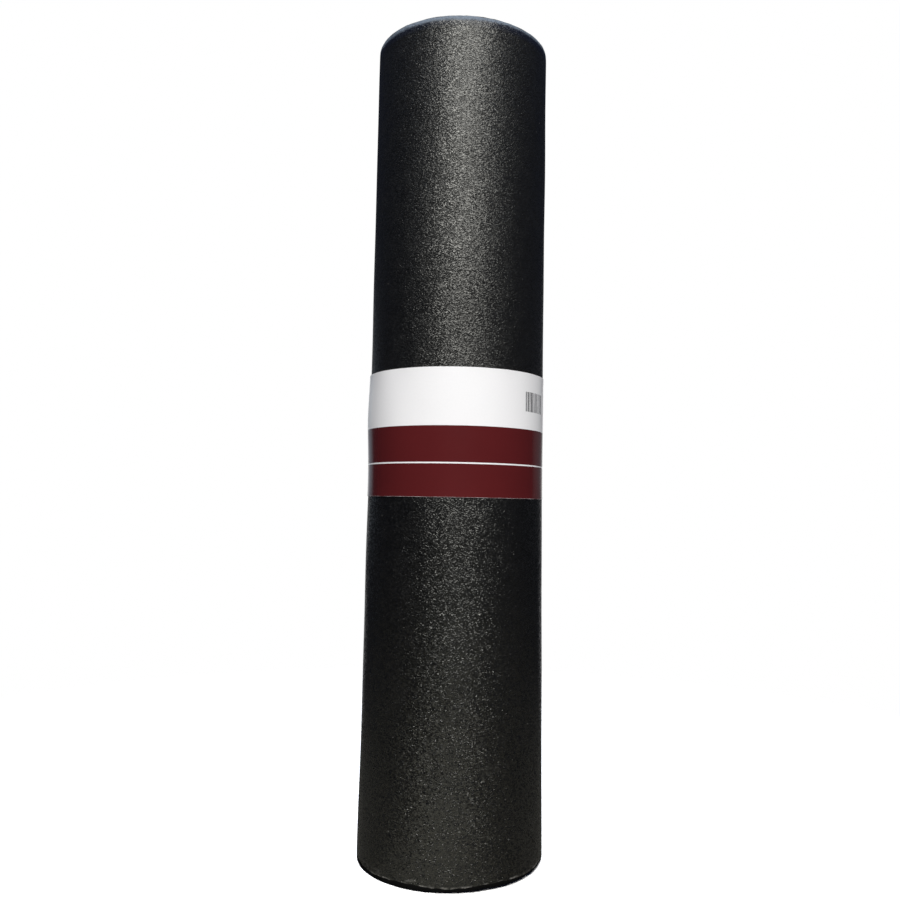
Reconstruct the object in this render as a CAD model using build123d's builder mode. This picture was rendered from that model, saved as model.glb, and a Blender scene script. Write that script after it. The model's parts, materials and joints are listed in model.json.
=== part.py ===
from build123d import *

import os
from math import cos, degrees, radians, sin

# Roll of roofing felt, standing on its end, with its printed paper band.
# Millimetres. +Z runs up the roll's axis, and the origin is the centre of the base.
# The front of the roll faces -Y. Angles are measured about +Z from +X.

# The wound sheet: from its lead in the bore it winds outwards anticlockwise to its tail
felt_width = 914.4  # width of the sheet, so the height of the standing roll
roll_diameter = 200.0
bore_diameter = 45.0  # left by the winding mandrel, with no core in it
felt_thickness = 0.68
rim_bruise_height = 6.0  # the outermost turns are bent inwards at both ends
rim_bruise_depth = 1.0
tail_angle = 118.0  # where the outer end of the sheet lies, at the back
tail_rise_angle = 40.0  # the turn below climbs back to full radius over this angle
lead_angle = 215.0  # where the inner end of the sheet lies, in the bore
lead_rise_angle = 55.0

# The rings that the turns leave on the ends: a gap shows after every few turns
turns_per_ring = 12
ring_gap_width = 0.5
ring_gap_depth = 1.2

# The paper band that holds the roll shut
label_height = 136.2
label_foot_height = 388.0  # its lower edge above the base
paper_thickness = 0.15
paper_clearance = 0.05  # between the paper and the felt
label_seam_angle = 62.0  # where the band is pasted over itself
label_overlap = 28.0

# Derived sizes
roll_radius = roll_diameter / 2
bore_radius = bore_diameter / 2
ring_pitch = turns_per_ring * felt_thickness
end_radius = roll_radius - rim_bruise_depth
ring_room = end_radius - ring_gap_width - bore_radius
ring_radii = [bore_radius + ring_pitch * ring for ring in range(1, int(ring_room / ring_pitch) + 1)]
paper_inner_radius = roll_radius + paper_clearance
paper_outer_radius = paper_inner_radius + paper_thickness
label_overlap_angle = degrees(label_overlap / paper_outer_radius)


def polar(radius, angle):
    """The point at this radius and angle about the roll's axis."""
    return (radius * cos(radians(angle)), radius * sin(radians(angle)))


def sheet_end_hollow(radius, edge_angle, rise_angle, depth):
    """Sketches the hollow beside an end of the sheet.

    It is depth deep at the cut edge and runs out over rise_angle, where the next turn is back
    at this radius. A negative rise_angle runs clockwise. A negative depth hollows a bore's wall.
    """
    full_angle = 2 * rise_angle
    with BuildLine() as outline:
        ThreePointArc(
            polar(radius - depth, edge_angle),
            polar(radius, edge_angle + rise_angle),
            polar(radius + depth, edge_angle + full_angle),
        )
        closing_arc = CenterArc((0, 0), radius + depth, edge_angle, full_angle)
        Line(closing_arc @ 0, polar(radius - depth, edge_angle))
    make_face(outline.edges())


os.makedirs("parts", exist_ok=True)

# The felt: a turned solid with its bore and the rings on its ends, then the two ends of the sheet
with BuildPart() as felt_roll:
    with BuildSketch(Plane.XZ) as half_section:
        with BuildLine():
            Polyline(
                (bore_radius, 0),
                (end_radius, 0),
                (roll_radius, rim_bruise_height),
                (roll_radius, felt_width - rim_bruise_height),
                (end_radius, felt_width),
                (bore_radius, felt_width),
                close=True,
            )
        make_face()
        with Locations([(radius, end) for radius in ring_radii for end in (0, felt_width)]):
            Polygon(
                (ring_gap_width / 2, 0),
                (0, ring_gap_depth),
                (-ring_gap_width / 2, 0),
                (0, -ring_gap_depth),
                mode=Mode.SUBTRACT,
            )
    revolve(axis=Axis.Z)
    with BuildSketch() as tail_hollow:
        sheet_end_hollow(roll_radius, tail_angle, tail_rise_angle, felt_thickness)
    extrude(amount=felt_width, mode=Mode.SUBTRACT)
    with BuildSketch() as lead_hollow:
        sheet_end_hollow(bore_radius, lead_angle, -lead_rise_angle, -felt_thickness)
    extrude(amount=felt_width, mode=Mode.SUBTRACT)
felt_roll.part.label = "felt_roll"
export_step(felt_roll.part, "parts/felt_roll.step")

# The paper band: one strip round the roll, doubled where its end is pasted over its start
with BuildPart() as label_band:
    with BuildSketch(Plane.XY.offset(label_foot_height)) as wrap:
        Circle(paper_outer_radius)
        with BuildLine():
            overlap_arc = CenterArc(
                (0, 0), paper_outer_radius + paper_thickness, label_seam_angle, label_overlap_angle
            )
            Line((0, 0), overlap_arc @ 0)
            Line(overlap_arc @ 1, (0, 0))
        make_face()
        Circle(paper_inner_radius, mode=Mode.SUBTRACT)
    extrude(amount=label_height)
label_band.part.label = "label_band"
export_step(label_band.part, "parts/label_band.step")
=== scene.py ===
import json
import math

import bpy
import numpy as np
from mathutils import Matrix, Vector


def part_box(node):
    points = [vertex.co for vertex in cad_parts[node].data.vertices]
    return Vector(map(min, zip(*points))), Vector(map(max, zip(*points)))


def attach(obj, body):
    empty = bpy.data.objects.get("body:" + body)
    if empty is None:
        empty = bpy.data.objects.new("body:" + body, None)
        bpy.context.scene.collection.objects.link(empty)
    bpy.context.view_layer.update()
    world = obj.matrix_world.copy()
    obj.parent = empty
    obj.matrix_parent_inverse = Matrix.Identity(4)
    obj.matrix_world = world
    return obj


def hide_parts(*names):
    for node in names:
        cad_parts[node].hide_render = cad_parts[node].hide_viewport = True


# A standing roll of roofing felt with its paper band, dressed over the CAD solids.
# Metres. +Z runs up the roll's axis and the front faces -Y. Angles are about +Z from +X.

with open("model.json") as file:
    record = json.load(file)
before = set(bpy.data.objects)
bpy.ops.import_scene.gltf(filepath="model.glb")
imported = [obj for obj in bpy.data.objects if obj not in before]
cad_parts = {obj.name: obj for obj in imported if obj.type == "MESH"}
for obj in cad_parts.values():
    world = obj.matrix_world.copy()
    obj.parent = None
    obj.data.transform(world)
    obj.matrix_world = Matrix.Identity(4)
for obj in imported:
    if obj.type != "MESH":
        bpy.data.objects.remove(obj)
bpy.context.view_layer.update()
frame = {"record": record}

# Sizes that the CAD gives
MM = 0.001
roll_low, roll_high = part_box("felt_roll")
band_low, band_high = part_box("label_band")
mounts = {mount["name"]: mount for mount in frame["record"]["mounts"]}
HEIGHT = roll_high.z
RADIUS = (roll_high.x - roll_low.x) / 2
BORE = mounts["bore"]["dims"]["r_mm"] * MM
BAND_FOOT = band_low.z
BAND_HEIGHT = band_high.z - band_low.z

# The winding. Steps run along the sheet from its inner end.
SEGMENTS = 96  # steps in one turn
TAIL_ANGLE = math.radians(118)  # the outer end of the sheet, at the back
LEAD_SEGMENTS = 26  # the inner end lies this many steps past the tail's angle
WHOLE_TURNS = 112
LAST = SEGMENTS * (WHOLE_TURNS + 1) - LEAD_SEGMENTS  # step at which the sheet ends
STEP_COUNT = LAST + SEGMENTS + 1  # with one more turn, for the outer face of the last one
LEAD_ANGLE = TAIL_ANGLE + LEAD_SEGMENTS * math.tau / SEGMENTS
SHEET = (RADIUS - BORE) / ((LAST + SEGMENTS) / SEGMENTS)  # thickness of one turn
EDGE_SHARES = (0.2, 0.8)  # the cut edge is level between these shares of the thickness
OUTER_ROWS = 110  # rows of the outer wall and of the bore's wall, between those near the ends
BORE_ROWS = 30
CUT_UV = 0.3 * MM  # way in the UVs for each strip of a cut end
TAIL_UNDER_UV = 1.0 * MM  # and to the tail's underside
BORE_UV_SHARE = 0.97  # keeps the painted sky reflection along the outer turn's upper edge out of the bore
SHARP_ANGLE = math.radians(40)

# The tail stands a little off the turn below, apart from where the paper band holds it
FLAP = 7  # steps that are lifted
FLAP_BEND = 1.6
TAIL_LIFT = 0.05 * MM
TAIL_LIFT_TOP = 1.1 * MM  # further at the top of the roll
TAIL_LIFT_FOOT = 0.9 * MM  # and at its foot
TAIL_LIFT_BEND = 1.4

# The ends of the roll
TURN_DROPS = [(170, 0.55 * MM), (37, 0.12 * MM)]  # turns lie unevenly: steps, amount
VALLEY = 0.32 * MM  # depth between two turns
VALLEY_UNEVEN = (23, 0.3)  # steps, share of that depth
RING_PITCH = 8.16 * MM  # a gap shows after every few turns
RING_COUNT = 9
RING_DEPTH = 1.2 * MM
RING_FADE = 9  # steps over which a gap opens and closes
RING_UNEVEN = 0.25  # share of its depth by which a gap varies
RING_WAVE = 0.11  # radians of that wave for each step
OUTER_ROUND = 0.15 * MM  # the outer edge of the outermost turn is rounded off by this
FLAP_ROUND = 0.1 * MM  # and the tail's inner edge by this
TONE_UNEVEN = (61, 0.5)  # turns are paler and darker: steps, amount
TONE_MEAN = 0.5

# The outermost turns are bruised at both ends, where they stop short and are bent inwards
RIM_BEND = 6.0 * MM  # height of the bent part
RIM_BEND_CURVE = 1.3
RIM_PRESS = 1.0 * MM  # how far the outermost turn is pressed in there
RIM_PRESS_MEAN = 0.55
RIM_PRESS_DEPTH = 9.0 * MM  # how deep into the roll that pressing reaches
RIM_SINK = {1: (2.0 * MM, 349), -1: (4.4 * MM, 335)}  # how far each end stops short, and where
RIM_SINK_DEPTH = 40.0 * MM  # how deep into the roll the turns stop short there
RIM_SINK_REACH = 80.0 * MM  # over which the sheet runs true again
RIM_RAGGED = (1.7, 1.1 * MM)  # the outermost turn has an uneven edge: steps, amount
BRUISE_EDGE = 4.6 * MM  # up to here the foot of the outermost turn is rubbed dull and darkened by the edge material's painted shade
TOLERANCE = 0.1 * MM
OUTER_NEAR = np.array([BRUISE_EDGE, 7.6 * MM, 10.0 * MM])  # rows of the walls near the ends
BORE_NEAR = np.array([1.5 * MM, 4.0 * MM])

# Tables of waves: waves round the roll, radians for each unit along, phase, size
QUARTER = math.pi / 2
RIM_WAVES = [(2, 0, -QUARTER, 0.45), (7, 2, 0.0, 0.1), (17, 5, 0.0, 0.08)]
BRUISE_WAVES = [
    (7, 0, 3.15, 0.8 * MM),
    (1, 0, -QUARTER, 0.88 * MM),
    (29, 0, 0.0, 0.32 * MM),
    (41, 0, 0.0, 0.28 * MM),
]
FELT_WAVES = [
    (2, 1.3 * math.tau, 0.4, 0.15 * MM),
    (3, -2.1 * math.tau, 2.2, 0.14 * MM),
    (5, 3.4 * math.tau, 4.1, 0.10 * MM),
    (7, -5.2 * math.tau, 1.1, 0.08 * MM),
    (4, 7.1 * math.tau, 5.0, 0.10 * MM),
    (9, 6.3 * math.tau, 3.3, 0.05 * MM),
]
BUCKLE_WAVES = [(5, 0, 1.3, 0.10 * MM), (11, 4, 0.0, 0.08 * MM)]
CURL_WAVES = [(7, 3, 0.0, 0.16 * MM), (17, 0, 0.0, 0.1 * MM)]

# The side of the roll
WAIST = 1.3 * MM  # how far the paper band draws the roll in, on the side where it is tight
WAIST_REACH = 0.2
FOOT_FLARE = 1.2 * MM  # the foot has spread under the roll's weight
FOOT_REACH = 0.09

# The paper band
BAND_COLUMNS = 300
BAND_ROWS = 36
PAPER = 0.15 * MM
PAPER_GAP = 0.24 * MM  # between the felt and the paper where it lies close
CURL = 0.22 * MM  # how far its upper and lower edges stand off
CURL_POWER = 10  # the higher, the closer the curl stays to the edges
TAIL_SLOPE = math.radians(14)  # over which the paper comes down from the tail's edge
SEAM_ANGLE = math.radians(62)
SEAM_LAP = 28.0 * MM
LAP_RISE = math.radians(3)
LAP_GAP = 0.02 * MM
SLACK = 2.2 * MM  # how far the band stands off where it is slack
SLACK_ANGLE = math.radians(186)
SLACK_REACH = math.radians(28)
SLACK_MIDDLE = 0.65  # shares of the band's height: where it is slackest, and how far that reaches
SLACK_HEIGHT = 0.3
SLACK_LEAST = 0.23  # share of the slack that is left at the edges
FRONT_ANGLE = math.radians(270)
BARE_PLACE = 0.99  # share of the band's height where the print leaves it bare

# The print on the band, measured from its foot and round the roll from the front
INK_HEIGHT = 74.5 * MM  # the maroon field
INK_SOFT = 0.12 * MM  # how soft the ink's edges are
RULE_HEIGHT = 35.6 * MM  # the thin line in it
RULE_WIDTH = 1.5 * MM
MARGIN = 0.25 * MM  # left bare by the ink along the foot
BAR_WIDTH = 0.4 * MM  # the thinnest bar of the block of bars
BARS_AROUND = (85.6 * MM, 125.0 * MM)
BARS_HEIGHT = (94.0 * MM, 115.6 * MM)

# The camera, from a fit to the outline of the roll in the photograph
CAMERA_PLACE = (0.0, -0.9974, 0.3823)
CAMERA_YAW = math.radians(-0.448)
CAMERA_PITCH = math.radians(6.229)
CAMERA_ROLL = math.radians(1.058)
CAMERA_LENS = 34.73
CAMERA_RISE = -0.0466  # the photograph's frame is not centred on the lens's axis
SENSOR_WIDTH = 36.0

random = np.random.RandomState(7)


def smooth_series(count, spacing, amount):
    """Random values along a line, smooth over about this many steps, from -amount to amount."""
    knots = random.uniform(-1, 1, int(count / spacing) + 4)
    place = np.arange(count) / spacing + 1
    low = place.astype(int)
    part = place - low
    p0, p1, p2, p3 = (knots[low + shift] for shift in (-1, 0, 1, 2))
    curve = p1 + part * (p2 - p0) / 2
    curve += part**2 * (p0 - 2.5 * p1 + 2 * p2 - p3 / 2)
    curve += part**3 * (1.5 * (p1 - p2) + (p3 - p0) / 2)
    return amount * curve


def sum_waves(table, angle, along=0.0):
    """The sum of a table of waves at this angle and this far along."""
    return sum(
        size * np.sin(around * angle + rate * along + phase) for around, rate, phase, size in table
    )


def felt_wave(angle, height):
    """How far the felt's surface stands off a true spiral here."""
    far = (height - BAND_FOOT - BAND_HEIGHT / 2) / WAIST_REACH
    waist = WAIST * (0.5 + 0.5 * np.cos(angle)) * np.exp(-(far**2))
    flare = FOOT_FLARE * np.exp(-((height / FOOT_REACH) ** 2))
    return flare - waist + sum_waves(FELT_WAVES, angle, height)


def rim_inset(angle, depth, way):
    """How far the bruised rim lies inside the side of the roll, this far from the end."""
    uneven = RIM_PRESS_MEAN + sum_waves(RIM_WAVES, angle, way)
    return RIM_PRESS * uneven * np.clip(1 - depth / RIM_BEND, 0, 1) ** RIM_BEND_CURVE


def rim_sink(angle, way):
    """How far the outermost turn stops short of the end of the roll."""
    amount, place = RIM_SINK[way]
    return amount * (0.5 + 0.5 * np.cos(angle - math.radians(place))) ** 2


def wall_shift(angle, height):
    """How far the outermost turn is shifted up or down here.

    It stops short of the ends, and the edge of the bruise at its foot goes up and down.
    """
    shift = rim_sink(angle, -1) * np.clip(1 - height / RIM_SINK_REACH, 0, 1)
    shift = shift - rim_sink(angle, 1) * np.clip(1 - (HEIGHT - height) / RIM_SINK_REACH, 0, 1)
    near = np.clip(1 - 2 * np.abs(height - BRUISE_EDGE) / BRUISE_EDGE, 0, 1)
    return shift + near * sum_waves(BRUISE_WAVES, angle)


def tail_lift(height):
    """How far the tail's edge stands off the turn below."""
    band_top = BAND_FOOT + BAND_HEIGHT
    above = np.maximum(height - band_top, 0) / (HEIGHT - band_top)
    below = np.maximum(BAND_FOOT - height, 0) / BAND_FOOT
    return (
        TAIL_LIFT
        + TAIL_LIFT_TOP * above**TAIL_LIFT_BEND
        + TAIL_LIFT_FOOT * below**TAIL_LIFT_BEND
    )


def make_mesh(name, verts, face_groups, materials):
    """A mesh object from vertices and groups of quads, each with its UVs and material number."""
    faces = np.concatenate([group[0] for group in face_groups])
    uvs = np.concatenate([group[1] for group in face_groups])
    numbers = np.concatenate([np.full(len(group[0]), group[2]) for group in face_groups])
    mesh = bpy.data.meshes.new(name)
    mesh.from_pydata(verts.tolist(), [], faces.tolist())
    mesh.uv_layers.new(name="UVMap").data.foreach_set("uv", uvs.reshape(-1))
    mesh.polygons.foreach_set("material_index", numbers.astype(np.int32))
    mesh.polygons.foreach_set("use_smooth", np.ones(len(faces), bool))
    for material in materials:
        mesh.materials.append(material)
    obj = bpy.data.objects.new(name, mesh)
    bpy.context.scene.collection.objects.link(obj)
    return obj


def quads_between(first, second):
    """Quads between two equally long rows of vertex numbers."""
    return np.stack([first[:-1], first[1:], second[1:], second[:-1]], axis=1)


def quads_over(rows):
    """Quads between each row of vertex numbers and the next."""
    return np.concatenate([quads_between(a, b) for a, b in zip(rows[:-1], rows[1:])])


def ring_points(radius, angle, height):
    """Points at these radii and angles about the roll's axis, and at these heights."""
    points = np.stack([radius * np.cos(angle), radius * np.sin(angle), height], axis=-1)
    return points.reshape(-1, 3)


# Node helpers


class Nodes:
    """Builds a shader node tree. A value given to an input is a number, a colour or a socket."""

    def __init__(self, tree):
        self.tree = tree
        tree.nodes.clear()

    def add(self, kind, inputs=None, **settings):
        made = self.tree.nodes.new(kind)
        for name, value in settings.items():
            setattr(made, name, value)
        for name, value in (inputs or {}).items():
            if isinstance(value, bpy.types.NodeSocket):
                self.tree.links.new(value, made.inputs[name])
            else:
                made.inputs[name].default_value = value
        return made

    def math(self, operation, first, second=0.0, clamp=False):
        inputs = {0: first, 1: second}
        return self.add("ShaderNodeMath", inputs, operation=operation, use_clamp=clamp).outputs[0]

    def span(self, value, low, high, start=0.0, end=1.0):
        """value mapped from low..high to start..end, held at both ends."""
        inputs = {"Value": value, "From Min": low, "From Max": high, "To Min": start, "To Max": end}
        return self.add("ShaderNodeMapRange", inputs).outputs["Result"]

    def mix(self, factor, first, second):
        inputs = {"Factor": factor, 6: first, 7: second}
        return self.add("ShaderNodeMix", inputs, data_type="RGBA").outputs[2]

    def noise(self, vector, scale, detail=2.0, roughness=0.5, distortion=0.0):
        inputs = {
            "Vector": vector,
            "Scale": scale,
            "Detail": detail,
            "Roughness": roughness,
            "Distortion": distortion,
        }
        return self.add("ShaderNodeTexNoise", inputs).outputs["Fac"]

    def stretch(self, vector, amounts):
        inputs = {0: vector, 1: amounts}
        return self.add("ShaderNodeVectorMath", inputs, operation="MULTIPLY").outputs[0]

    def split(self, vector):
        return self.add("ShaderNodeSeparateXYZ", {"Vector": vector}).outputs


def surface_material(name, build):
    """A material whose surface is a Principled shader that build() fills in."""
    material = bpy.data.materials.new(name)
    material.use_nodes = True
    nodes = Nodes(material.node_tree)
    shader = nodes.add("ShaderNodeBsdfPrincipled")
    output = nodes.add("ShaderNodeOutputMaterial")
    nodes.tree.links.new(shader.outputs["BSDF"], output.inputs["Surface"])
    build(nodes, shader)
    return material


def link(nodes, socket, shader, name):
    nodes.tree.links.new(socket, shader.inputs[name])


# Materials. Pairs give a look's two ends, at the two ends of the range that it follows.

FELT_DARK = (0.002, 0.002, 0.0021, 1)
FELT_PALE = (0.008, 0.008, 0.0082, 1)
FELT_LINT = (0.016, 0.0153, 0.0125, 1)
FELT_DUST = (0.16, 0.155, 0.145, 1)
# Painted reflection of pale blue sky along the upper edge
FELT_SKY_REFLECTION = (0.128, 0.16, 0.205, 1)
# Faint painted blue fringe of that reflection below it
FELT_REFLECTION_FRINGE = (0.002, 0.005, 0.02, 1)
FELT_TINT = (1.0, 1.0, 0.94, 1)  # of its sheen
EDGE_DARK = (0.006, 0.006, 0.006, 1)
EDGE_PALE = (0.04, 0.039, 0.037, 1)
PAPER_WHITE = (0.89, 0.886, 0.89, 1)
PAPER_SHADE = (0.82, 0.815, 0.82, 1)
INK_MAROON = (0.092, 0.0112, 0.0122, 1)
INK_SHADE = (0.081, 0.0102, 0.0112, 1)
BAR_GREY = (0.058, 0.058, 0.063, 1)

NOISE_RANGE = (0.3, 0.7)  # nearly all values of a noise lie here
GRAIN_RANGE = (0.25, 0.75)  # and of a grain's own numbers here

# The felt's grain. Scales are repeats in a metre.
GRAIN_SCALE = 1150.0
GRAIN_STRETCH = (0.72, 1.0, 1.0)  # grains are longer round the roll
GRAIN_LEAN = 0.143  # the slope at which a grain can lean
LOW_FELT = (0.1, 0.42)  # heights between which the look low down gives way to that above
LEAN_STRENGTH = (2.1, 1.0)
GRAIN_RELIEF = (0.3, 0.44)
RELIEF_DEPTH = 0.65 * MM
STRAND_SCALE = 300.0
STRAND_TWIST = 1.2
STRAND_WIDTH = 0.14  # as a share of the noise that it is cut from
STRAND_RELIEF = 0.012
TONE_RANGE = (0.3, 0.75)
BLOTCH_SCALE = 14.0
BLOTCH_TONE = (0.7, 1.1)

# What lies on the felt, by height above the foot, and the painted reflection of the sky, by depth
# below the upper edge
LINT_RANGE = (0.5, 0.32)
LINT_HEIGHT = (0.02, 0.36)
# A faint painted blue fringe of the sky reflection below the upper edge
FRINGE_DEPTH = (14.0 * MM, 6.0 * MM)
FRINGE_AMOUNT = 0.6
SPECK_SCALE = 120.0
SPECK_SIZE = (0.05, 0.11)  # in spacings of the specks
SPECK_HEIGHT = (0.02, 0.42)
SPECK_MISSING = (0.87, 0.965)  # share of the places without a speck
PATCH_SCALE = 95.0
WEAR_HEIGHT = (BRUISE_EDGE + 0.7 * MM, BRUISE_EDGE + 1.7 * MM)
WEAR_RANGE = (0.46, 0.62)
WEAR_AMOUNT = 1.2
SCUFF_SCALE = 160.0
SCUFF_STRETCH = (0.35, 1.0, 1.0)
SCUFF_RANGE = (0.58, 0.7)
SCUFF_AMOUNT = 0.4
SCUFF_HEIGHT = (8.0 * MM, 22.0 * MM)
DUST_AMOUNT = 0.8
# The painted reflection of pale blue sky along the upper edge
SKY_REFLECTION_DEPTH = (6.8 * MM, 3.4 * MM)
SKY_REFLECTION_CURVE = 1.3
SKY_REFLECTION_SCALE = 260.0
SKY_REFLECTION_RAGGED = 0.6 * MM
SKY_REFLECTION_THINS = (0.27, 0.32)  # way along the sheet over which the bloom gets thinner
SKY_REFLECTION_SHIFT = (0.2 * MM, -1.4 * MM)
SKY_REFLECTION_TONE = (0.75, 1.0)

# The felt's sheen
MATTED_RANGE = (0.28, 0.6)
MATTED_ROUGH = (0.45, 0.41)
SMOOTH_HEIGHT = (0.1, 0.55)  # the felt is smoother low down
SMOOTH_AMOUNT = 0.165
ROUGH_SCALE = 55.0
ROUGH_UNEVEN = 0.035
# rougher where the painted sky reflection lies
SKY_REFLECTION_ROUGH = 0.35
FELT_IOR = 1.56

# The cut edges
EDGE_FIBRE_SCALE = 900.0
EDGE_PATCH_SCALE = 45.0
EDGE_SHARE_FIBRE = 0.5
EDGE_SHARE_PATCH = 0.35
EDGE_SHARE_TURN = 0.55
EDGE_TONE = (0.25, 0.95)
EDGE_SHADE_HEIGHT = (10.0 * MM, 12.0 * MM)  # painted shade: near the floor the edges are darkened nearly to black
EDGE_SHADE_STRENGTH = 0.9
EDGE_ROUGH = (0.95, 0.8)
EDGE_RELIEF = (0.5, 0.4 * MM)  # strength, depth
EDGE_SPECULAR = 0.05

# The paper
PAPER_FIBRE_SCALE = 420.0
PAPER_CLOUD_SCALE = 22.0
PAPER_ROUGH = (0.17, 0.23)
PAPER_RELIEF = (0.12, 0.2 * MM)  # strength, depth
PAPER_SOFTNESS = 0.2  # diffuse roughness where there is no ink
SHADE_AMOUNT = 0.25
INK_SHADE_AMOUNT = 0.5
MARGIN_SCALE = 60.0
MARGIN_RANGE = (0.35, 0.65)
MARGIN_BARE = (0.1, 0.7)


def build_felt(nodes, shader):
    """Black saturated felt: short matted fibres that catch the light, a little dust low down, and a
    painted reflection of pale blue sky along the upper edge with a faint painted blue fringe below
    it.
    """
    uv = nodes.add("ShaderNodeUVMap", uv_map="UVMap").outputs["UV"]
    split = nodes.split(uv)
    around, height = split["X"], split["Y"]

    # Grains, each with a lean of its own, and strands among them
    laid = nodes.stretch(uv, GRAIN_STRETCH)
    inputs = {"Vector": laid, "Scale": GRAIN_SCALE, "Smoothness": 1.0}
    grains = nodes.add("ShaderNodeTexVoronoi", inputs, feature="SMOOTH_F1", voronoi_dimensions="2D")
    grains = nodes.split(grains.outputs["Color"])
    matted, speckle = grains["X"], grains["Z"]
    lean_range = (0.5 - GRAIN_LEAN / 2, 0.5 + GRAIN_LEAN / 2)
    lean_around = nodes.span(grains["X"], *GRAIN_RANGE, *lean_range)
    lean_up = nodes.span(grains["Y"], *GRAIN_RANGE, *lean_range)
    lean = nodes.add("ShaderNodeCombineXYZ", {"X": lean_around, "Y": lean_up, "Z": 1.0}).outputs[0]
    inputs = {"Color": lean, "Strength": nodes.span(height, *LOW_FELT, *LEAN_STRENGTH)}
    leaning = nodes.add("ShaderNodeNormalMap", inputs, uv_map="UVMap")
    strand = nodes.noise(laid, STRAND_SCALE, 1.0, 0.5, STRAND_TWIST)
    strand = nodes.math("ABSOLUTE", nodes.math("SUBTRACT", strand, 0.5))
    strand = nodes.span(strand, 0.0, STRAND_WIDTH, 1.0, 0.0)
    relief = nodes.math("MULTIPLY", speckle, nodes.span(height, *LOW_FELT, *GRAIN_RELIEF))
    relief = nodes.math("ADD", relief, nodes.math("MULTIPLY", strand, STRAND_RELIEF))
    blotch = nodes.noise(uv, BLOTCH_SCALE, 3.0, 0.55)
    tone = nodes.span(matted, *TONE_RANGE)
    tone = nodes.math("MULTIPLY", tone, nodes.span(blotch, *NOISE_RANGE, *BLOTCH_TONE))
    colour = nodes.mix(tone, FELT_DARK, FELT_PALE)

    # Lint low down, and a faint painted blue reflection below the upper edge
    lint = nodes.span(speckle, *LINT_RANGE)
    lint = nodes.math("MULTIPLY", lint, nodes.span(height, *LINT_HEIGHT, 1.0, 0.0))
    colour = nodes.mix(lint, colour, FELT_LINT)
    reflection_fringe = nodes.span(height, *(HEIGHT - depth for depth in FRINGE_DEPTH))
    colour = nodes.mix(nodes.math("MULTIPLY", reflection_fringe, FRINGE_AMOUNT), colour, FELT_REFLECTION_FRINGE)

    # Dust: specks, the worn foot and scuffs above it
    cells = nodes.add("ShaderNodeTexVoronoi", {"Vector": uv, "Scale": SPECK_SCALE}).outputs
    speck = nodes.span(cells["Distance"], *SPECK_SIZE, 1.0, 0.0)
    chance = nodes.split(cells["Color"])["X"]
    missing = nodes.span(height, *SPECK_HEIGHT, *SPECK_MISSING)
    speck = nodes.math("MULTIPLY", speck, nodes.math("GREATER_THAN", chance, missing))
    patchy = nodes.noise(uv, PATCH_SCALE, 3.0)
    wear = nodes.span(height, *WEAR_HEIGHT, 1.0, 0.0)
    wear = nodes.math("MULTIPLY", wear, nodes.span(patchy, *WEAR_RANGE))
    dust = nodes.math("MAXIMUM", speck, nodes.math("MULTIPLY", wear, WEAR_AMOUNT))
    scuff = nodes.noise(nodes.stretch(uv, SCUFF_STRETCH), SCUFF_SCALE, 3.0, 0.6)
    scuff = nodes.span(scuff, *SCUFF_RANGE, 0.0, SCUFF_AMOUNT)
    scuff = nodes.math("MULTIPLY", scuff, nodes.span(height, *SCUFF_HEIGHT, 1.0, 0.0))
    dust = nodes.math("MAXIMUM", dust, scuff)
    colour = nodes.mix(nodes.math("MULTIPLY", dust, DUST_AMOUNT), colour, FELT_DUST)

    # The painted reflection of pale blue sky along the upper edge
    ragged = nodes.noise(uv, SKY_REFLECTION_SCALE, 1.0)
    ragged = nodes.span(ragged, *NOISE_RANGE, -SKY_REFLECTION_RAGGED, SKY_REFLECTION_RAGGED)
    ragged = nodes.math("ADD", height, ragged)
    ragged = nodes.math("ADD", ragged, nodes.span(around, *SKY_REFLECTION_THINS, *SKY_REFLECTION_SHIFT))
    sky_reflection = nodes.span(ragged, *(HEIGHT - depth for depth in SKY_REFLECTION_DEPTH))
    sky_reflection = nodes.math("POWER", sky_reflection, SKY_REFLECTION_CURVE)
    sky_reflection = nodes.math("MULTIPLY", sky_reflection, nodes.span(patchy, *NOISE_RANGE, *SKY_REFLECTION_TONE))
    colour = nodes.mix(sky_reflection, colour, FELT_SKY_REFLECTION)

    rough = nodes.span(matted, *MATTED_RANGE, *MATTED_ROUGH)
    rough = nodes.math("SUBTRACT", rough, nodes.span(height, *SMOOTH_HEIGHT, SMOOTH_AMOUNT, 0.0))
    uneven = nodes.noise(uv, ROUGH_SCALE, 2.0)
    uneven = nodes.span(uneven, *NOISE_RANGE, -ROUGH_UNEVEN, ROUGH_UNEVEN)
    rough = nodes.math("ADD", rough, uneven)
    rough = nodes.math("ADD", rough, nodes.math("MULTIPLY", sky_reflection, SKY_REFLECTION_ROUGH))
    inputs = {
        "Strength": 1.0,
        "Distance": RELIEF_DEPTH,
        "Height": relief,
        "Normal": leaning.outputs["Normal"],
    }
    bump = nodes.add("ShaderNodeBump", inputs)
    link(nodes, colour, shader, "Base Color")
    link(nodes, rough, shader, "Roughness")
    link(nodes, bump.outputs["Normal"], shader, "Normal")
    shader.inputs["IOR"].default_value = FELT_IOR
    shader.inputs["Specular Tint"].default_value = FELT_TINT
    shader.inputs["Specular IOR Level"].default_value = 0.5


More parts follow.
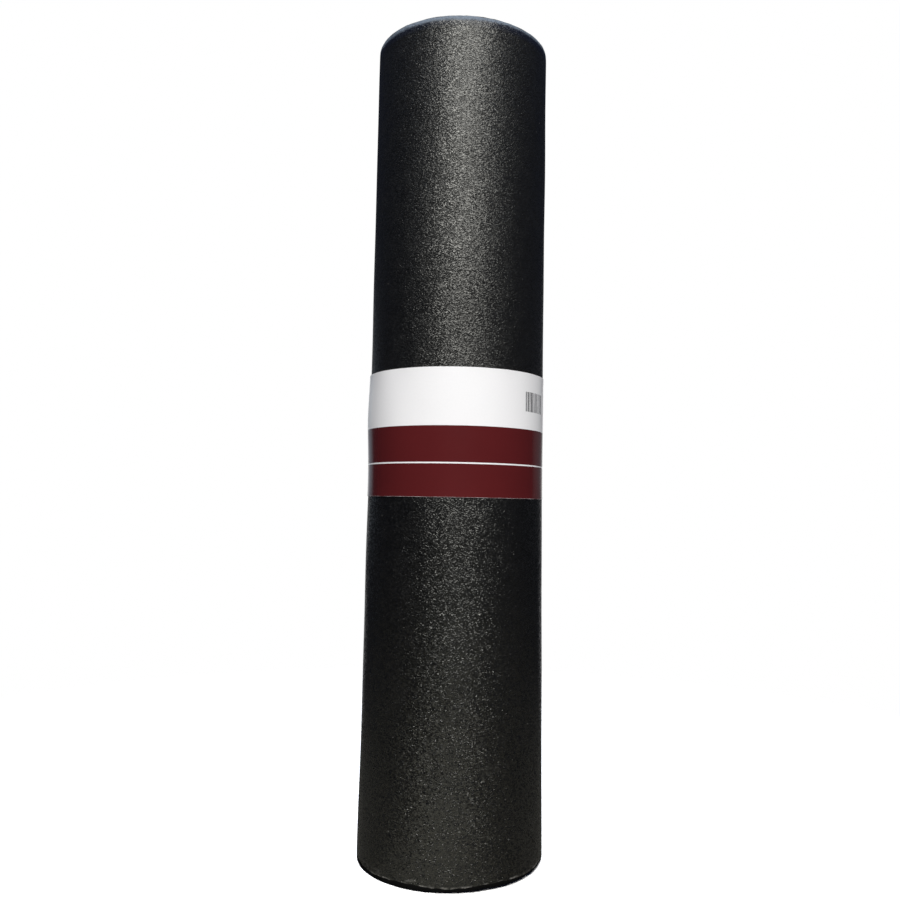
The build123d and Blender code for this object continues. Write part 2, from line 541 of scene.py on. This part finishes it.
def build_edge(nodes, shader):
    """The cut edges of the sheet: dull and fibrous, each turn a little apart in tone, with painted
    shade near the floor.
    """
    place = nodes.add("ShaderNodeTexCoord").outputs["Object"]
    turn = nodes.add("ShaderNodeAttribute", attribute_name="turn_tone").outputs["Fac"]
    fibre = nodes.noise(place, EDGE_FIBRE_SCALE, 3.0, 0.6)
    patch = nodes.noise(place, EDGE_PATCH_SCALE, 3.0, 0.55)
    tone = nodes.math("MULTIPLY", fibre, EDGE_SHARE_FIBRE)
    tone = nodes.math("ADD", tone, nodes.math("MULTIPLY", patch, EDGE_SHARE_PATCH))
    tone = nodes.math("ADD", tone, nodes.math("MULTIPLY", turn, EDGE_SHARE_TURN))
    colour = nodes.mix(nodes.span(tone, *EDGE_TONE), EDGE_DARK, EDGE_PALE)
    # Painted shade: near the floor the edges are darkened nearly to black
    level = nodes.split(place)["Z"]
    colour = nodes.mix(nodes.span(level, *EDGE_SHADE_HEIGHT, EDGE_SHADE_STRENGTH, 0.0), colour, FELT_DARK)
    strength, depth = EDGE_RELIEF
    bump = nodes.add("ShaderNodeBump", {"Strength": strength, "Distance": depth, "Height": fibre})
    link(nodes, colour, shader, "Base Color")
    link(nodes, nodes.span(fibre, *NOISE_RANGE, *EDGE_ROUGH), shader, "Roughness")
    link(nodes, bump.outputs["Normal"], shader, "Normal")
    shader.inputs["Specular IOR Level"].default_value = EDGE_SPECULAR


def build_paper(nodes, shader):
    """Coated paper: a white field over a maroon one with a thin white line, and a block of bars."""
    uv = nodes.add("ShaderNodeUVMap", uv_map="UVMap").outputs["UV"]
    split = nodes.split(uv)
    around, height = split["X"], split["Y"]

    def below(value, level):
        return nodes.span(value, level - INK_SOFT, level + INK_SOFT, 1.0, 0.0)

    def between(value, low, high):
        above = nodes.span(value, low - INK_SOFT, low + INK_SOFT)
        return nodes.math("MULTIPLY", above, below(value, high))

    fibre = nodes.noise(uv, PAPER_FIBRE_SCALE, 4.0, 0.6)
    cloud = nodes.noise(uv, PAPER_CLOUD_SCALE, 2.0)
    shade = nodes.span(fibre, *NOISE_RANGE, 0.0, SHADE_AMOUNT)
    white = nodes.mix(shade, PAPER_WHITE, PAPER_SHADE)
    shade = nodes.span(cloud, *NOISE_RANGE, 0.0, INK_SHADE_AMOUNT)
    ink = nodes.mix(shade, INK_MAROON, INK_SHADE)
    rule = between(height, RULE_HEIGHT - RULE_WIDTH / 2, RULE_HEIGHT + RULE_WIDTH / 2)
    margin = nodes.span(nodes.noise(uv, MARGIN_SCALE), *MARGIN_RANGE, *MARGIN_BARE)
    margin = nodes.math("MULTIPLY", below(height, MARGIN), margin)
    spared = nodes.math("MAXIMUM", rule, margin)
    inked = nodes.math("SUBTRACT", 1.0, spared)
    inked = nodes.math("MULTIPLY", below(height, INK_HEIGHT), inked)
    colour = nodes.mix(inked, white, ink)
    module = nodes.math("FLOOR", nodes.math("DIVIDE", around, BAR_WIDTH))
    stripe = nodes.add("ShaderNodeTexWhiteNoise", {"W": module}, noise_dimensions="1D")
    stripe = nodes.math("GREATER_THAN", stripe.outputs["Value"], 0.5)
    block = nodes.math("MULTIPLY", between(around, *BARS_AROUND), between(height, *BARS_HEIGHT))
    colour = nodes.mix(nodes.math("MULTIPLY", block, stripe), colour, BAR_GREY)
    strength, depth = PAPER_RELIEF
    bump = nodes.add("ShaderNodeBump", {"Strength": strength, "Distance": depth, "Height": fibre})
    link(nodes, colour, shader, "Base Color")
    link(nodes, nodes.span(fibre, *NOISE_RANGE, *PAPER_ROUGH), shader, "Roughness")
    link(nodes, bump.outputs["Normal"], shader, "Normal")
    link(nodes, nodes.span(inked, 0.0, 1.0, PAPER_SOFTNESS, 0.0), shader, "Diffuse Roughness")
    shader.inputs["Specular IOR Level"].default_value = 0.5


felt = surface_material("felt", build_felt)
felt_edge = surface_material("felt_edge", build_edge)
paper = surface_material("paper", build_paper)

# The wound felt: every turn is a strip on both ends, and the outer and bore walls join them

steps = np.arange(STEP_COUNT)
angles = LEAD_ANGLE + steps * math.tau / SEGMENTS
inner_radii = BORE + SHEET * steps / SEGMENTS  # of the sheet's inner face
edge_rises = SHEET * np.array(EDGE_SHARES)  # of the level part of the cut edge, above that face
flap_part = np.clip((steps - (LAST - FLAP)) / FLAP, 0, None) ** FLAP_BEND


def flap_shift(step, height):
    """How far the sheet is lifted at this step of its length and this height."""
    return tail_lift(height) * flap_part[np.minimum(step, LAST)] * (step <= LAST)


class End:
    """The vertices of one end of the roll. way is 1 for the top and -1 for the base."""

    def __init__(self, level, way, first):
        self.level, self.way = level, way
        self.sheet_heights = []  # as they would be if no turn stopped short
        drop = sum(np.abs(smooth_series(STEP_COUNT, *uneven)) for uneven in TURN_DROPS)
        depth = VALLEY * (1 + smooth_series(STEP_COUNT, *VALLEY_UNEVEN))
        for ring in range(1, RING_COUNT + 1):
            middle = SEGMENTS * ring * RING_PITCH / SHEET
            near = np.clip((SEGMENTS / 2 - np.abs(steps - middle)) / RING_FADE, 0, 1)
            wave = RING_UNEVEN * np.sin(steps * RING_WAVE + ring)
            depth += RING_DEPTH * near * (1 - RING_UNEVEN + wave)
        self.ragged = np.abs(smooth_series(STEP_COUNT, *RIM_RAGGED))
        valley_drop = np.maximum(drop, np.roll(drop, SEGMENTS)) + depth
        valley_drop[LAST:] = drop[LAST - SEGMENTS : LAST + 1] + OUTER_ROUND
        valley_lift = np.where(steps >= SEGMENTS, flap_shift(steps - SEGMENTS, level), 0)
        tops = steps[: LAST + 1]
        top_lift = flap_shift(tops, level)
        under = np.arange(LAST - FLAP + 1, LAST + 1)
        under_lift = flap_shift(under, level)
        self.valley = first + steps
        self.low_top = self.valley[-1] + 1 + tops
        self.high_top = self.low_top[-1] + 1 + tops
        self.under = self.high_top[-1] + 1 + np.arange(FLAP)
        self.places = np.concatenate([
            self.place(steps, inner_radii, valley_drop, valley_lift),
            self.place(tops, inner_radii[tops] + edge_rises[0], drop[tops], top_lift),
            self.place(tops, inner_radii[tops] + edge_rises[1], drop[tops], top_lift),
            self.place(under, inner_radii[under], drop[under] + FLAP_ROUND, under_lift),
        ])

    def place(self, step, radius, drop, lift):
        """Points at these steps of the sheet, the outermost turns pressed inwards."""
        press = np.clip((radius - (RADIUS - RIM_PRESS_DEPTH)) / RIM_PRESS_DEPTH, 0, 1) ** 2
        drop = drop + press * self.ragged[step]
        self.sheet_heights.append(self.level - self.way * drop)
        short = np.clip((radius - (RADIUS - RIM_SINK_DEPTH)) / RIM_SINK_DEPTH, 0, 1)
        height = self.level - self.way * (drop + short * rim_sink(angles[step], self.way))
        radius = radius - rim_inset(angles[step], 0, self.way) * press
        radius = radius + lift + press * felt_wave(angles[step], height)
        return ring_points(radius, angles[step], height)

    def under_or_valley(self):
        """The sheet's inner valley at each step, or the flap's underside at the lifted tail."""
        row = self.valley[: LAST + 1].copy()
        row[LAST - FLAP + 1 :] = self.under
        return row

    def faces(self):
        outer = self.valley[SEGMENTS:]
        made = quads_over([self.under_or_valley(), self.low_top, self.high_top, outer])
        return made if self.way < 0 else made[:, ::-1]

    def outer_loop(self):
        """Vertex numbers round the outside.

        First the turn below the tail, then the outer turn, the tail's edge and its underside.
        """
        return np.concatenate([
            self.valley[LAST - FLAP :],
            [self.high_top[LAST], self.low_top[LAST]],
            self.under[::-1],
        ])

    def bore_loop(self):
        return np.concatenate([
            self.valley[: SEGMENTS + 1], [self.high_top[0], self.low_top[0]]
        ])


def graded_heights(near, count):
    """Heights from near the base to near the top, close together at first and even between."""
    even = np.linspace(near[-1], HEIGHT - near[-1], count)[1:-1]
    return np.concatenate([near, even, HEIGHT - near[::-1]])


def wall(top_loop, base_loop, loop_angles, heights, shape, shift, first):
    """Rows of vertices between two loops, and the quads of the closed wall."""
    columns = len(loop_angles)
    grid_height = np.repeat(heights[:, None], columns, axis=1)
    level = grid_height + shift(loop_angles, grid_height)
    places = ring_points(shape(grid_height), loop_angles + 0 * level, level)
    between = [first + row * columns + np.arange(columns) for row in range(len(heights))]
    rows = [np.append(row, row[0]) for row in [base_loop, *between, top_loop]]
    return places, grid_height.reshape(-1), quads_over(rows)


top = End(HEIGHT, 1, 0)
base = End(0.0, -1, len(top.places))
verts = [top.places, base.places]
sheet_heights = top.sheet_heights + base.sheet_heights
count = 2 * len(top.places)

# The outer wall: the turn below the tail, the outer turn, and the tail's edge and underside
outer_turn = np.arange(LAST - FLAP, LAST + SEGMENTS + 1)
tail_under = np.arange(LAST, LAST - FLAP, -1)
outer_steps = np.concatenate([outer_turn, [LAST, LAST], tail_under])
lifted_steps = np.concatenate([outer_turn - SEGMENTS, [LAST, LAST], tail_under])
outer_radii = np.concatenate([
    inner_radii[outer_turn], inner_radii[LAST] + edge_rises[::-1], inner_radii[tail_under]
])
outer_angles = angles[outer_steps]
outer_heights = graded_heights(OUTER_NEAR, OUTER_ROWS)


def outer_shape(height):
    depth = np.minimum(height, HEIGHT - height)
    way = np.where(height < HEIGHT / 2, -1, 1)
    inset = rim_inset(outer_angles, depth, way)
    wave = felt_wave(outer_angles, height)
    return outer_radii - inset + wave + flap_shift(lifted_steps, height)


places, heights, outer_faces = wall(
    top.outer_loop(),
    base.outer_loop(),
    outer_angles,
    outer_heights,
    outer_shape,
    wall_shift,
    count,
)
verts.append(places)
sheet_heights.append(heights)
count += len(places)

# The wall of the bore
bore_turn = np.arange(SEGMENTS + 1)
bore_steps = np.concatenate([bore_turn, [0, 0]])
bore_radii = np.concatenate([inner_radii[bore_turn], BORE + edge_rises[::-1]])
bore_heights = graded_heights(BORE_NEAR, BORE_ROWS)


def bore_shape(height):
    return bore_radii + 0 * height


def no_shift(angle, height):
    return 0 * height


places, heights, bore_faces = wall(
    top.bore_loop(),
    base.bore_loop(),
    angles[bore_steps],
    bore_heights,
    bore_shape,
    no_shift,
    count,
)
bore_faces = bore_faces[:, ::-1]
verts.append(places)
verts = np.concatenate(verts)
sheet_heights = np.concatenate(sheet_heights + [heights])


def wall_uvs(faces, columns, distances):
    """UVs of a wall's quads with only the height set, and the way along at both their sides."""
    corner = np.zeros((len(faces), 4, 2))
    corner[:, :, 1] = sheet_heights[faces]
    column = np.tile(np.arange(columns), len(faces) // columns)
    left, right = distances[column], distances[column + 1]
    return corner, left, right


outer_round = math.tau * RADIUS
outer_distance = np.concatenate([
    (outer_turn - LAST) * outer_round / SEGMENTS,
    outer_round + CUT_UV * np.array([1, 2]),
    outer_round + TAIL_UNDER_UV + np.arange(FLAP + 1) * outer_round / SEGMENTS,
])
outer_uvs, left, right = wall_uvs(outer_faces, len(outer_steps), outer_distance)
outer_uvs[:, [0, 3], 0] = left[:, None]
outer_uvs[:, [1, 2], 0] = right[:, None]
bore_round = math.tau * BORE
bore_distance = np.concatenate([
    bore_turn * bore_round / SEGMENTS, bore_round + CUT_UV * np.array([1, 2, 3])
])
bore_uvs, left, right = wall_uvs(bore_faces, len(bore_steps), bore_distance)
bore_uvs[:, [0, 3], 0] = right[:, None]
bore_uvs[:, [1, 2], 0] = left[:, None]
bore_uvs[:, :, 1] *= BORE_UV_SHARE
end_faces = np.concatenate([top.faces(), base.faces()])
end_uvs = verts[end_faces][:, :, :2]

# The tail's cut edge and the bruised foot of the outer turn take the edge material, whose painted
# shade makes the bruised foot nearly black
cut_columns = SEGMENTS + FLAP + np.arange(3)
outer_column = np.tile(np.arange(len(outer_steps)), len(outer_faces) // len(outer_steps))
outer_top = sheet_heights[outer_faces].max(axis=1)
outer_dull = np.isin(outer_column, cut_columns) | (outer_top < BRUISE_EDGE + TOLERANCE)
wound_felt = make_mesh(
    "wound_felt",
    verts,
    [
        (outer_faces[~outer_dull], outer_uvs[~outer_dull], 0),
        (outer_faces[outer_dull], outer_uvs[outer_dull], 1),
        (bore_faces, bore_uvs, 0),
        (end_faces, end_uvs, 1),
    ],
    [felt, felt_edge],
)
tone = wound_felt.data.attributes.new("turn_tone", "FLOAT", "POINT")
turn_tone = np.full(len(verts), TONE_MEAN)
for end in (top, base):
    shade = TONE_MEAN + smooth_series(STEP_COUNT, *TONE_UNEVEN)
    turn_tone[end.valley] = 0.0
    turn_tone[end.low_top] = shade[: LAST + 1]
    turn_tone[end.high_top] = shade[: LAST + 1]
tone.data.foreach_set("value", turn_tone.astype(np.float32))
wound_felt.data.set_sharp_from_angle(angle=SHARP_ANGLE)
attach(wound_felt, "root")
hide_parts("felt_roll")

# The paper band: one strip round the felt, its end pasted over its start

turned = np.linspace(0, math.tau + SEAM_LAP / RADIUS, BAND_COLUMNS)
band_turned, band_part = np.meshgrid(turned, np.linspace(0, 1, BAND_ROWS))
band_angle = SEAM_ANGLE + band_turned
band_height = BAND_FOOT + band_part * BAND_HEIGHT
since_tail = np.mod(band_angle - TAIL_ANGLE, math.tau)
under_band = RADIUS - SHEET + SHEET * since_tail / math.tau
under_band += SHEET * np.clip(1 - since_tail / TAIL_SLOPE, 0, 1) ** 2
under_band += felt_wave(band_angle, band_height)
edge_near = np.abs(2 * band_part - 1) ** CURL_POWER
buckle = sum_waves(BUCKLE_WAVES, band_angle, band_part)
curl = edge_near * (CURL + sum_waves(CURL_WAVES, band_angle, band_part))
slack_near = np.exp(-(((band_part - SLACK_MIDDLE) / SLACK_HEIGHT) ** 2))
slack = SLACK * np.exp(-(((band_angle - SLACK_ANGLE) / SLACK_REACH) ** 2))
slack = slack * (SLACK_LEAST + (1 - SLACK_LEAST) * slack_near)
lap = np.clip((band_turned - math.tau + LAP_RISE) / LAP_RISE, 0, 1)
inside = under_band + slack + PAPER_GAP + buckle + curl + lap * (PAPER + LAP_GAP)

grid = np.arange(BAND_COLUMNS * BAND_ROWS).reshape(BAND_ROWS, BAND_COLUMNS)
back = grid + grid.size
outside_faces = quads_over(grid)
inside_faces = outside_faces[:, ::-1] + grid.size
rim_faces = np.concatenate([
    quads_between(back[0], grid[0]),
    quads_between(grid[-1], back[-1]),
    quads_between(grid[:, 0], back[:, 0]),
    quads_between(back[:, -1], grid[:, -1]),
])
band_verts = np.concatenate([
    ring_points(inside + PAPER, band_angle, band_height),
    ring_points(inside, band_angle, band_height),
])
band_along = (band_angle - FRONT_ANGLE) * RADIUS
flat = np.stack([band_along, band_part * BAND_HEIGHT], axis=2).reshape(-1, 2)
bare_paper_uv = np.array([0.0, BAND_HEIGHT * BARE_PLACE])
paper_band = make_mesh(
    "paper_band",
    band_verts,
    [
        (outside_faces, flat[outside_faces], 0),
        (inside_faces, np.tile(bare_paper_uv, (len(inside_faces), 4, 1)), 0),
        (rim_faces, np.tile(bare_paper_uv, (len(rim_faces), 4, 1)), 0),
    ],
    [paper],
)
paper_band.data.set_sharp_from_angle(angle=SHARP_ANGLE)
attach(paper_band, "root")
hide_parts("label_band")

# The floor: white to the camera, and dim in the light that it throws back at the roll, apart
# from a strip in front that the roll's foot mirrors

FLOOR_RADIUS = 1.8
FLOOR_SIDES = 64
FLOOR_FADE = (0.3, 1.1)  # it thins out into the white surround between these distances
FLOOR_WHITE = (1.74, 1.74, 1.74, 1)
FLOOR_DIM = (0.088, 0.084, 0.073, 1)
FLOOR_NEAR = (0.97, 0.94, 0.81, 1)  # the strip in front of the roll
FLOOR_NEAR_STRETCH = (1.0, 0.52, 1.0)  # the strip is a circle once the floor is stretched so
FLOOR_NEAR_PLACE = (-0.03, -0.19, 0.0)  # its middle on the stretched floor
FLOOR_NEAR_REACH = (0.06, 0.175)
SWEEP_EDGE = (0.9, 0.96)  # cosine off +Y over which the white sweep behind the roll begins


def seen_directly(nodes, direction):
    """1 where white is seen: all round by the camera, and behind the roll by mirrors and glass."""
    path = nodes.add("ShaderNodeLightPath").outputs
    level = nodes.add("ShaderNodeVectorMath", {0: direction}, operation="NORMALIZE").outputs[0]
    mirrored = nodes.math("ADD", path["Is Glossy Ray"], path["Is Transmission Ray"], clamp=True)
    backward = nodes.span(nodes.split(level)["Y"], *SWEEP_EDGE)
    mirrored = nodes.math("MULTIPLY", mirrored, backward)
    return nodes.math("ADD", path["Is Camera Ray"], mirrored, clamp=True)


def make_floor():
    ring = np.linspace(0, math.tau, FLOOR_SIDES, endpoint=False)
    points = ring_points(FLOOR_RADIUS, ring, 0 * ring)
    mesh = bpy.data.meshes.new("floor")
    mesh.from_pydata(points.tolist(), [], [list(range(FLOOR_SIDES))])
    floor = bpy.data.objects.new("floor", mesh)
    bpy.context.scene.collection.objects.link(floor)
    material = bpy.data.materials.new("floor")
    material.use_nodes = True
    nodes = Nodes(material.node_tree)
    place = nodes.add("ShaderNodeTexCoord").outputs["Object"]
    distance = nodes.add("ShaderNodeVectorMath", {0: place}, operation="LENGTH").outputs["Value"]
    shown = seen_directly(nodes, place)
    inputs = {0: nodes.stretch(place, FLOOR_NEAR_STRETCH), 1: FLOOR_NEAR_PLACE}
    ahead = nodes.add("ShaderNodeVectorMath", inputs, operation="DISTANCE").outputs["Value"]
    dim = nodes.mix(nodes.span(ahead, *FLOOR_NEAR_REACH), FLOOR_NEAR, FLOOR_DIM)
    lit = nodes.add("ShaderNodeBsdfDiffuse", {"Color": nodes.mix(shown, dim, FLOOR_WHITE)})
    clear = nodes.add("ShaderNodeBsdfTransparent")
    fade = nodes.span(distance, *FLOOR_FADE)
    both = nodes.add("ShaderNodeMixShader", {0: fade, 1: lit.outputs[0], 2: clear.outputs[0]})
    nodes.add("ShaderNodeOutputMaterial", {"Surface": both.outputs[0]})
    mesh.materials.append(material)


make_floor()

# Light: a soft key high in front, two dim windows behind that the paper's sides mirror, a high
# lamp for the back, a pale blue sky above, and a dim room that is brighter above

ROOM_LOW = (0.0095, 0.0112, 0.019, 1)
ROOM_HIGH = (0.034, 0.046, 0.09, 1)
ROOM_RISE = (0.0, 0.9)  # upward part of the direction between which the room brightens
WHITE = (1, 1, 1, 1)

# Each lamp's name, place, target, width and height, watts and colour
LAMPS = [
    ("key", (0.2, -4.0, 3.75), (0, 0, 0.6), (2.0, 2.0), 377, (1.0, 0.988, 0.968)),
    ("window_left", (-1.416, 2.06, 0.66), (0, 0, 0.455), (1.0, 0.56), 0.7, (0.78, 0.89, 1.0)),
    ("window_right", (1.7, 1.83, 0.66), (0, 0, 0.455), (1.5, 0.56), 0.3, (0.95, 0.98, 1.0)),
    ("back", (0, 2.2, 4.2), (0, 0, 0.5), (2.0, 2.0), 75, (0.95, 0.97, 1.0)),
    ("sky", (0, -0.3, 3.2), (0, -0.3, 0), (2.4, 2.4), 25, (0.68, 0.81, 1.0)),
]


def make_world():
    world = bpy.data.worlds.new("studio")
    bpy.context.scene.world = world
    world.use_nodes = True
    nodes = Nodes(world.node_tree)
    direction = nodes.add("ShaderNodeTexCoord").outputs["Generated"]
    upward = nodes.split(direction)["Z"]
    room = nodes.mix(nodes.span(upward, *ROOM_RISE), ROOM_LOW, ROOM_HIGH)
    dim = nodes.add("ShaderNodeBackground", {"Color": room})
    white = nodes.add("ShaderNodeBackground", {"Color": WHITE})
    shown = seen_directly(nodes, direction)
    both = nodes.add("ShaderNodeMixShader", {0: shown, 1: dim.outputs[0], 2: white.outputs[0]})
    nodes.add("ShaderNodeOutputWorld", {"Surface": both.outputs[0]})


def make_lamp(name, place, target, size, power, colour):
    light = bpy.data.lights.new(name, "AREA")
    light.shape = "RECTANGLE"
    light.size, light.size_y = size
    light.energy = power
    light.color = colour
    lamp = bpy.data.objects.new(name, light)
    lamp.location = place
    lamp.visible_camera = False
    lamp.rotation_euler = (Vector(target) - Vector(place)).to_track_quat("-Z", "Y").to_euler()
    bpy.context.scene.collection.objects.link(lamp)


make_world()
for lamp_values in LAMPS:
    make_lamp(*lamp_values)


def make_camera():
    forward = Vector((
        math.sin(CAMERA_YAW) * math.cos(CAMERA_PITCH),
        math.cos(CAMERA_YAW) * math.cos(CAMERA_PITCH),
        math.sin(CAMERA_PITCH),
    ))
    level_right = Vector((math.cos(CAMERA_YAW), -math.sin(CAMERA_YAW), 0))
    level_up = level_right.cross(forward)
    right = math.cos(CAMERA_ROLL) * level_right + math.sin(CAMERA_ROLL) * level_up
    up = math.cos(CAMERA_ROLL) * level_up - math.sin(CAMERA_ROLL) * level_right
    data = bpy.data.cameras.new("camera")
    data.sensor_width = SENSOR_WIDTH
    data.lens = CAMERA_LENS
    data.shift_y = CAMERA_RISE
    camera = bpy.data.objects.new("camera", data)
    turn = Matrix((right, up, -forward)).transposed().to_4x4()
    camera.matrix_world = Matrix.Translation(CAMERA_PLACE) @ turn
    bpy.context.scene.collection.objects.link(camera)
    bpy.context.scene.camera = camera


make_camera()
bpy.context.scene.view_settings.view_transform = "Standard"
